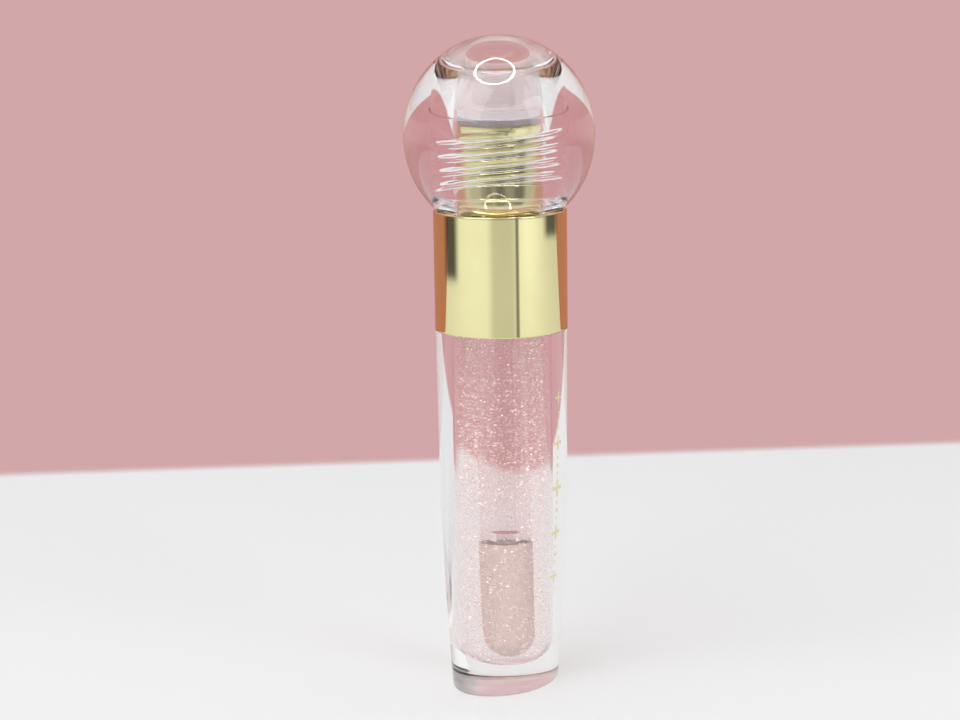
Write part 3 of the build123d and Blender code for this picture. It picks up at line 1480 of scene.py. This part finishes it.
@dataclass
class Wand:
    """Milky head, clear stem and flocked applicator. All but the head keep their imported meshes.

    The head's top lies a little inside the ball's roof, so that light goes from one clear material
    straight into the next, except over the round well in its middle.
    """

    roof_overlap: float = 0.04
    rim_wall: float = 1.1
    boss_radius: float = 4.15
    socket_radius: float = 2.67
    socket_depth: float = 3.22
    well_radius: float = 3.45
    top_thickness: float = 1.3
    top_chamfer: float = 0.95
    edge_round: float = 0.05
    rim_round: float = 0.1
    well_round: float = 0.08
    hollow_round: float = 0.15
    span: float = 0.8
    segments: int = 192
    fibres: int = 6500
    fibre_length: Range = (0.1, 0.24)
    fibre_width: float = 0.028
    fibre_lean: float = 0.35
    fibre_droop: float = 0.25
    fibre_root: float = 0.02
    flock_flatness: float = 0.2
    seed: int = 7

    def head(self, finish: bpy.types.Material) -> bpy.types.Object:
        """Builds the head.

        Args:
            finish: Its material.

        Returns:
            The head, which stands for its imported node.
        """
        foot, radius = foot_of("wand_head"), reach_of("wand_head")
        top = top_of("wand_head") + self.roof_overlap
        hollow_top = top - self.roof_overlap - self.top_thickness
        socket_top = foot + self.socket_depth
        corners = [
            (radius - self.rim_wall, foot, self.edge_round),
            (radius, foot, self.rim_round),
            (radius, top - self.top_chamfer, self.edge_round),
            (radius - self.top_chamfer, top, self.edge_round),
            (self.well_radius, top, self.well_round),
            (self.well_radius, socket_top, self.edge_round),
            (self.socket_radius, socket_top, self.edge_round),
            (self.socket_radius, foot, self.edge_round),
            (self.boss_radius, foot, self.edge_round),
            (self.boss_radius, hollow_top, self.hollow_round),
            (radius - self.rim_wall, hollow_top, self.hollow_round),
        ]
        stack = RingStack(self.segments).turned(corners, self.span, closed=True)
        piece = stack.skin("head_milky", finish, closed=True)
        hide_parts("wand_head")
        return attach(piece, Body.CAP.value)

    def dress_parts(self) -> list[bpy.types.Object]:
        """Gives the wand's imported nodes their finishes.

        Returns:
            The nodes' objects.
        """
        clear = ClearPlastic("clear_rod", (0.975, 0.965, 0.965), index=1.49, haze=0.02).build()
        return [
            dress("stem", clear),
            dress("applicator_core", CorePlastic().build()),
            dress("applicator_flock", FlockFinish("flock_ground").build()),
        ]

    def flocked_skin(self) -> tuple[list[tuple[list[Vector], Vector]], list[float]]:
        """Finds the triangles on the outside of the flock.

        Returns:
            The corners and the normal of each triangle, and the area of each.
        """
        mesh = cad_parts["applicator_flock"].data
        mesh.calc_loop_triangles()
        low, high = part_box("applicator_flock")
        middle = (low + high) / 2
        outside, areas = [], []
        for triangle in mesh.loop_triangles:
            corners = [mesh.vertices[index].co for index in triangle.vertices]
            centre = sum(corners, Vector()) / 3
            away = centre - middle
            away.z *= self.flock_flatness
            if triangle.normal.dot(away) > 0:
                outside.append((corners, triangle.normal.copy()))
                areas.append(triangle.area)
        return outside, areas

    def flock_fibres(self, finish: bpy.types.Material) -> bpy.types.Object:
        """Stands short fibres on the outside of the applicator.

        Args:
            finish: Their material.

        Returns:
            The fibres as one mesh.
        """
        rng = random.Random(self.seed)
        outside, areas = self.flocked_skin()
        spread, sag = self.fibre_lean, -self.fibre_droop
        points, faces = [], []
        for corners, normal in rng.choices(outside, weights=areas, k=self.fibres):
            first, second = sorted((rng.random(), rng.random()))
            root = corners[0] * first + corners[1] * (second - first) + corners[2] * (1 - second)
            lean = Vector((rng.gauss(0, spread), rng.gauss(0, spread), rng.gauss(sag, spread)))
            along = (normal + lean).normalized()
            across = along.orthogonal().normalized() * self.fibre_width * MM / 2
            length = rng.uniform(*self.fibre_length) * MM
            base = len(points)
            for side in range(3):
                turned = Matrix.Rotation(FULL_TURN * side / 3, 3, along) @ across
                points.append((root - along * self.fibre_root * MM + turned) / MM)
            points.append((root + along * length) / MM)
            faces += [(base, base + 2, base + 1)]
            faces += [(base + side, base + (side + 1) % 3, base + 3) for side in range(3)]
        piece = mesh_piece("flock_fibres", np.array(points), faces, finish)
        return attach(piece, Body.CAP.value)


# ---------------------------------------------------------------------------------------------------
# Studio
# ---------------------------------------------------------------------------------------------------


@dataclass(frozen=True)
class Viewpoint:
    """Where the camera stands, in millimetres and degrees, and its clipping range, in metres."""

    azimuth: float = -46.0
    distance: float = 319.5
    height: float = 114.7
    pitch: float = 11.315
    yaw: float = 0.595
    roll: float = -0.87
    lens: float = 80.7
    sensor: float = 36.0
    clip: Range = (0.01, 20.0)

    def place(self) -> None:
        """Makes the camera."""
        lens = bpy.data.cameras.new("camera")
        lens.lens, lens.sensor_width = self.lens, self.sensor
        lens.clip_start, lens.clip_end = self.clip
        camera = bpy.data.objects.new("camera", lens)
        camera.location = self.towards(-self.distance, 0.0, self.height)
        aim = Matrix.Rotation(math.radians(self.azimuth) + math.radians(self.yaw), 4, "Z")
        tip = Matrix.Rotation(math.radians(90 - self.pitch), 4, "X")
        lean = Matrix.Rotation(math.radians(self.roll), 4, "Z")
        camera.rotation_euler = (aim @ tip @ lean).to_euler()
        bpy.context.scene.collection.objects.link(camera)
        bpy.context.scene.camera = camera

    def heading(self, right: float) -> Vector:
        """Level direction, right degrees clockwise from straight ahead of the camera."""
        turn = math.radians(self.azimuth - right)
        return Vector((-math.sin(turn), math.cos(turn), 0))

    def towards(self, ahead: float, right: float, up: float) -> Vector:
        """Point placed as the camera sees the tube, in metres.

        Args:
            ahead: Distance beyond the tube's axis, negative towards the camera.
            right: Distance to the right.
            up: Height over the floor.

        Returns:
            The point in the row frame.
        """
        return (self.heading(0) * ahead + self.heading(90) * right + UP * up) * MM


def hang(lamp: bpy.types.Object, place: Vector, target: Vector) -> None:
    """Puts a lamp at a place, facing a target."""
    lamp.location = place
    lamp.rotation_euler = (target - lamp.location).to_track_quat("-Z", "Y").to_euler()


@dataclass(frozen=True)
class Softbox:
    """A soft white lamp that looks at the tube and isn't seen through clear walls."""

    name: str
    ahead: float
    right: float
    up: float
    width: float
    height: float
    watts: float

    def place(self, viewpoint: Viewpoint, target: Vector) -> None:
        """Makes the lamp.

        Args:
            viewpoint: Its place is given as this sees the tube.
            target: The point that it looks at, in metres.
        """
        light = bpy.data.lights.new(self.name, "AREA")
        light.shape, light.size, light.size_y = "RECTANGLE", self.width * MM, self.height * MM
        light.energy = self.watts
        lamp = bpy.data.objects.new(self.name, light)
        hang(lamp, viewpoint.towards(self.ahead, self.right, self.up), target)
        lamp.visible_transmission = False
        bpy.context.scene.collection.objects.link(lamp)


@dataclass(frozen=True)
class RingLamp:
    """Thin round tube lamp that hangs before the tube and faces it, seen only as a reflection."""

    ahead: float = -100.0
    right: float = -35.0
    up: float = 693.0
    radius: float = 206.0
    tube: float = 13.0
    tube_sides: int = 8
    strength: float = 24.0
    segments: int = 96

    def place(self, viewpoint: Viewpoint, target: Vector) -> None:
        """Makes the lamp.

        Args:
            viewpoint: Its place is given as this sees the tube.
            target: The point that it faces, in metres.
        """
        maker = MaterialMaker("lit_tube")
        turns = np.arange(self.tube_sides) * FULL_TURN / self.tube_sides
        radius = self.radius + self.tube * np.cos(turns)
        stack = RingStack(self.segments).add(radius, radius, self.tube * np.sin(turns))
        glow = maker.glow((1.0, 1.0, 1.0), self.strength)
        lamp = stack.skin("ring_lamp", maker.done(glow), closed=True)
        hang(lamp, viewpoint.towards(self.ahead, self.right, self.up), target)
        lamp.visible_diffuse = False


@dataclass(frozen=True)
class PaintedDarkReflection:
    """A painted dark reflection: a band round the tube that is darkened only for mirrors and clear walls.

    Attributes:
        low: Where it begins, in degrees right of the camera as seen from the tube.
        high: Where it ends.
        on_table: How much it darkens the table, as mirrors and clear walls show it.
        in_room: How much it darkens the room above the table, as mirrors and clear walls show it.
        near: Distance from the tube at which it begins on the table, in millimetres.
        in_gold: True for what shows only in mirrors, not through clear walls.
    """

    low: float
    high: float
    on_table: float = 0.0
    in_room: float = 0.0
    near: float = 110.0
    in_gold: bool = False


@dataclass(frozen=True)
class Studio:
    """Plain pale table with a pale blush sweep behind it, and the soft room that the finishes mirror.

    Attributes:
        viewpoint: The room is laid out as this sees the tube.
        table_white: Colour of the table.
        sweep_blush: Colour of the sweep as the camera sees it.
        mirrored_blush: Its colour as clear walls show it.
        blush_in_gold: Its colour as the gold mirrors it.
        cast_blush: Colour of the light that it casts.
        room_white: Colour of the room.
        open_white: Colour of the table far away and of the room beyond it, as the camera sees them.
        painted_reflection_colour: Colour of the painted dark reflections on the table.
        paper: Grain of the table.
        paper_roughness: Its least roughness.
        paper_mottle: How much rougher it is in patches.
        paper_gloss: Its specular level.
        open_from: Distance at which the table starts to turn to open_white.
        open_to: Distance at which it has turned.
        table_depth: Depth of the table beyond the tube.
        depth_through_walls: Its depth as clear walls show it.
        table_turn: How far its far edge is turned, in degrees.
        table_fade: Width of that edge.
        floor_half: Half the width of the floor.
        air_film: Gap between the floor and the bottle's foot.
        room_strength: Strength of the room's light on the object.
        shown_extra: What is added where the room is mirrored or shown through clear walls.
        sweep_ahead: Where the sweep starts round the room, as a cosine from straight ahead.
        sweep_top: Where it ends overhead, as a sine of the height.
        horizon: Width of the change from sweep to open room at the horizon.
        soft_edge: Widest soft edge of a painted dark reflection, in degrees.
        soft_near: Soft edge of its near end on the table.
        soft_top: Soft edge of its top in the room, as a sine of the height.
        band_foot: Where it begins over the table in the room, as a sine of the height.
        band_top: How high it reaches in the room, in degrees over the table.
        stands: The painted dark reflections.
    """

    viewpoint: Viewpoint
    table_white: Colour = (0.93, 0.97, 0.975)
    sweep_blush: Colour = (0.645, 0.385, 0.40)
    mirrored_blush: Colour = (0.60, 0.285, 0.30)
    blush_in_gold: Colour = (0.55, 0.23, 0.17)
    cast_blush: Colour = (0.74, 0.62, 0.62)
    room_white: Colour = (0.90, 0.88, 0.88)
    open_white: Colour = (0.863, 0.858, 0.858)
    painted_reflection_colour: Colour = (0.05, 0.045, 0.045)
    paper: Grain = Grain(0.8, 4.0)
    paper_roughness: float = 0.55
    paper_mottle: float = 0.2
    paper_gloss: float = 0.2
    open_from: float = 280.0
    open_to: float = 840.0
    table_depth: float = 144.0
    depth_through_walls: float = 154.0
    table_turn: float = 5.0
    table_fade: float = 10.0
    floor_half: float = 9000.0
    air_film: float = 0.03
    room_strength: float = 0.80
    shown_extra: float = 0.16
    sweep_ahead: Range = (-0.35, 0.05)
    sweep_top: Range = (0.62, 0.70)
    horizon: Range = (-0.02, 0.02)
    soft_edge: float = 8.0
    soft_near: float = 15.0
    soft_top: float = 0.06
    band_foot: Range = (0.08, 0.16)
    band_top: float = 40.0
    stands: tuple[PaintedDarkReflection, ...] = (
        PaintedDarkReflection(-17.0, 26.0, on_table=0.30),
        PaintedDarkReflection(25.5, 31.0, on_table=0.75),
        PaintedDarkReflection(-73.0, 78.0, on_table=0.30, in_room=0.40, near=600.0),
        PaintedDarkReflection(-42.0, 57.0, in_room=0.45),
        PaintedDarkReflection(-8.0, 12.0, in_room=0.60),
        PaintedDarkReflection(34.0, 57.0, in_room=0.60),
        PaintedDarkReflection(-30.0, -17.0, in_room=0.30),
        PaintedDarkReflection(-108.0, -80.0, on_table=0.93, near=405.0, in_gold=True),
        PaintedDarkReflection(82.0, 112.0, on_table=0.90, near=505.0, in_gold=True),
    )

    def painted_reflection_share(self, maker: NodeMaker, where: Signal, on_table: bool) -> Signal:
        """Share of light left by the painted dark reflections round the tube.

        Args:
            maker: The tree.
            where: Place or direction as seen from the tube's axis.
            on_table: True for places on the table, False for directions in the room.

        Returns:
            1 where nothing is painted darker.
        """
        nearer = 0 - maker.along(where, self.viewpoint.heading(0))
        bearing = maker.math("ARCTAN2", maker.along(where, self.viewpoint.heading(90)), nearer)
        upward = maker.along(where, UP)
        distance = maker.length(where)
        in_mirror = maker.mirror_rays()
        top = math.sin(math.radians(self.band_top))
        left_over: Signal | float = 1.0
        for stand in self.stands:
            darkness = stand.on_table if on_table else stand.in_room
            if not darkness:
                continue
            soft = math.radians(min(self.soft_edge, (stand.high - stand.low) / 3))
            low, high = math.radians(stand.low), math.radians(stand.high)
            band = bearing.between(low - soft, low + soft) * (1 - bearing.between(high - soft, high + soft))
            if on_table:
                near, soft_near = stand.near * MM, self.soft_near * MM
                band = band * distance.between(near - soft_near, near + soft_near)
            else:
                band = band * (1 - upward.between(top - self.soft_top, top + self.soft_top))
                band = band * upward.between(*self.band_foot)
            if stand.in_gold:
                band = band * in_mirror
            left_over = (1 - band * darkness) * left_over
        return left_over

    def floor(self) -> None:
        """Makes the floor: a white table round the tube, and the blush sweep beyond its far edge."""
        maker = MaterialMaker("table_and_sweep")
        place = maker.place()
        depth = maker.along(place, self.viewpoint.heading(-self.table_turn))
        deeper = (self.depth_through_walls - self.table_depth) * MM
        edge, fade = self.table_depth * MM, self.table_fade * MM / 2
        far = (depth - maker.rays(Ray.THROUGH) * deeper).between(edge - fade, edge + fade)
        paper = maker.principled(
            Base_Color=maker.mix_colour(far, self.table_white, self.sweep_blush),
            Roughness=self.paper_roughness + maker.noise(self.paper) * self.paper_mottle,
            Specular_IOR_Level=self.paper_gloss,
        )
        shown = maker.rays(Ray.GLOSSY, Ray.THROUGH)
        seen = maker.rays(Ray.CAMERA, Ray.GLOSSY, Ray.THROUGH)
        blush = maker.mix_colour(shown, self.sweep_blush, self.mirrored_blush)
        blush = maker.mix_colour(maker.mirror_rays(), blush, self.blush_in_gold)
        shader = maker.mix_shader(far * seen, paper, maker.glow(blush))
        shader = self.brightened_distance(maker, place, shader, 1 - far)
        # Painted dark reflections: dark patches on the table that only mirrors and clear walls show.
        shade = 1 - self.painted_reflection_share(maker, place, on_table=True)
        shader = maker.mix_shader(shade * shown, shader, maker.glow(self.painted_reflection_colour))
        half, drop = self.floor_half * MM, -self.air_film * MM
        corners = [(-half, -half, drop), (half, -half, drop), (half, half, drop), (-half, half, drop)]
        mesh = bpy.data.meshes.new("floor")
        mesh.from_pydata(corners, [], [(0, 1, 2, 3)])
        mesh.materials.append(maker.done(shader))
        sheet = bpy.data.objects.new("floor", mesh)
        bpy.context.scene.collection.objects.link(sheet)

    def brightened_distance(self, maker: NodeMaker, place: Signal, table: Signal, share: Signal) -> Signal:
        """Keeps the table as bright far from the lamps as it is near the tube, as the camera sees it.

        Args:
            maker: The tree.
            place: Place on the table.
            table: The table's shader.
            share: Share of it that may be brightened.

        Returns:
            The mixed shader.
        """
        distant = maker.length(place).between(self.open_from * MM, self.open_to * MM)
        factor = distant * share * maker.rays(Ray.CAMERA)
        return maker.mix_shader(factor, table, maker.glow(self.open_white))

    def room(self) -> None:
        """Fills the world with even pale light, and the blush sweep behind the tube for what mirrors it."""
        world = bpy.data.worlds.new("room")
        world.use_nodes = True
        bpy.context.scene.world = world
        maker = NodeMaker(world.node_tree)
        direction = maker.value("ShaderNodeTexCoord", "Generated")
        upward = maker.along(direction, UP)
        ahead = maker.along(direction, self.viewpoint.heading(0))
        behind = ahead.between(*self.sweep_ahead) * (1 - upward.between(*self.sweep_top))
        shown = maker.rays(Ray.GLOSSY, Ray.THROUGH)
        backdrop = maker.mix_colour(shown, self.cast_blush, self.mirrored_blush)
        backdrop = maker.mix_colour(maker.mirror_rays(), backdrop, self.blush_in_gold)
        colour = maker.mix_colour(behind, self.room_white, backdrop)
        # Painted dark reflections: the room is darker in bands, for rays from mirrors and clear walls only.
        shade = 1 - (1 - self.painted_reflection_share(maker, direction, on_table=False)) * shown
        strength = (self.room_strength + shown * self.shown_extra) * shade
        in_view = maker.rays(Ray.CAMERA)
        horizon = maker.mix_colour(ahead.between(*self.horizon), self.open_white, self.sweep_blush)
        colour = maker.mix_colour(in_view, colour, horizon)
        strength = strength * (1 - in_view) + in_view
        light = maker.value("ShaderNodeBackground", 0, None, {"Color": colour, "Strength": strength})
        maker.node("ShaderNodeOutputWorld", None, {"Surface": light})

    def lamps(self, target: Vector) -> None:
        """Makes the lamps.

        Args:
            target: The point that they look at, in metres.
        """
        boxes: list[Softbox | RingLamp] = [
            Softbox("key_softbox", ahead=-480, right=-500, up=640, width=700, height=700, watts=3.0),
            Softbox("fill_softbox", ahead=-380, right=460, up=330, width=260, height=420, watts=0.8),
            RingLamp(),
        ]
        for box in boxes:
            box.place(self.viewpoint, target)


def set_rendering() -> None:
    """Plain colours, and enough bounces for light to cross all the clear walls."""
    scene = bpy.context.scene
    scene.view_settings.view_transform = "Standard"
    scene.cycles.max_bounces = 32
    scene.cycles.transmission_bounces = 32
    scene.cycles.transparent_max_bounces = 48
    scene.cycles.glossy_bounces = 12


def build_all() -> None:
    """Builds the studio and every piece, in order."""
    logging.basicConfig(level=logging.INFO, format="%(name)s: %(message)s")
    set_rendering()
    viewpoint = Viewpoint()
    viewpoint.place()
    studio = Studio(viewpoint)
    studio.floor()
    studio.room()
    low, high = cad_box
    studio.lamps((low + high) / 2)

    clear_bottle = ClearPlastic("clear_bottle", (0.985, 0.978, 0.978), foot_frosting=0.15, foot_contact=0.38)
    clear_ball = ClearPlastic("clear_ball", (0.985, 0.98, 0.98))
    wiper_plastic = MilkyPlastic("wiper_plastic", (0.88, 0.81, 0.84), clearness=0.75)
    milky_head = MilkyPlastic("milky_head", (0.92, 0.875, 0.88))
    gold = GoldPlate().build()
    bottle = Bottle()
    gloss = Gloss(bottle)
    wand = Wand()
    made = [
        bottle.build(clear_bottle.build()),
        gloss.build(GelFinish().build()),
        gloss.sprinkle(GlitterFinish().build()),
        FoilOrnament(bottle).build(gold),
        Collar().build(gold),
        BallCap().build(clear_ball.build()),
        dress("wiper", wiper_plastic.build()),
        dress("seal_washer", FoamFinish().build()),
        wand.head(milky_head.build()),
        *wand.dress_parts(),
        wand.flock_fibres(FlockFinish("flock_fibre", tuft_size=0.5).build()),
    ]
    for piece in made:
        log.info("%s: %d faces", piece.name, len(piece.data.polygons))


if __name__ == "__main__":
    build_all()
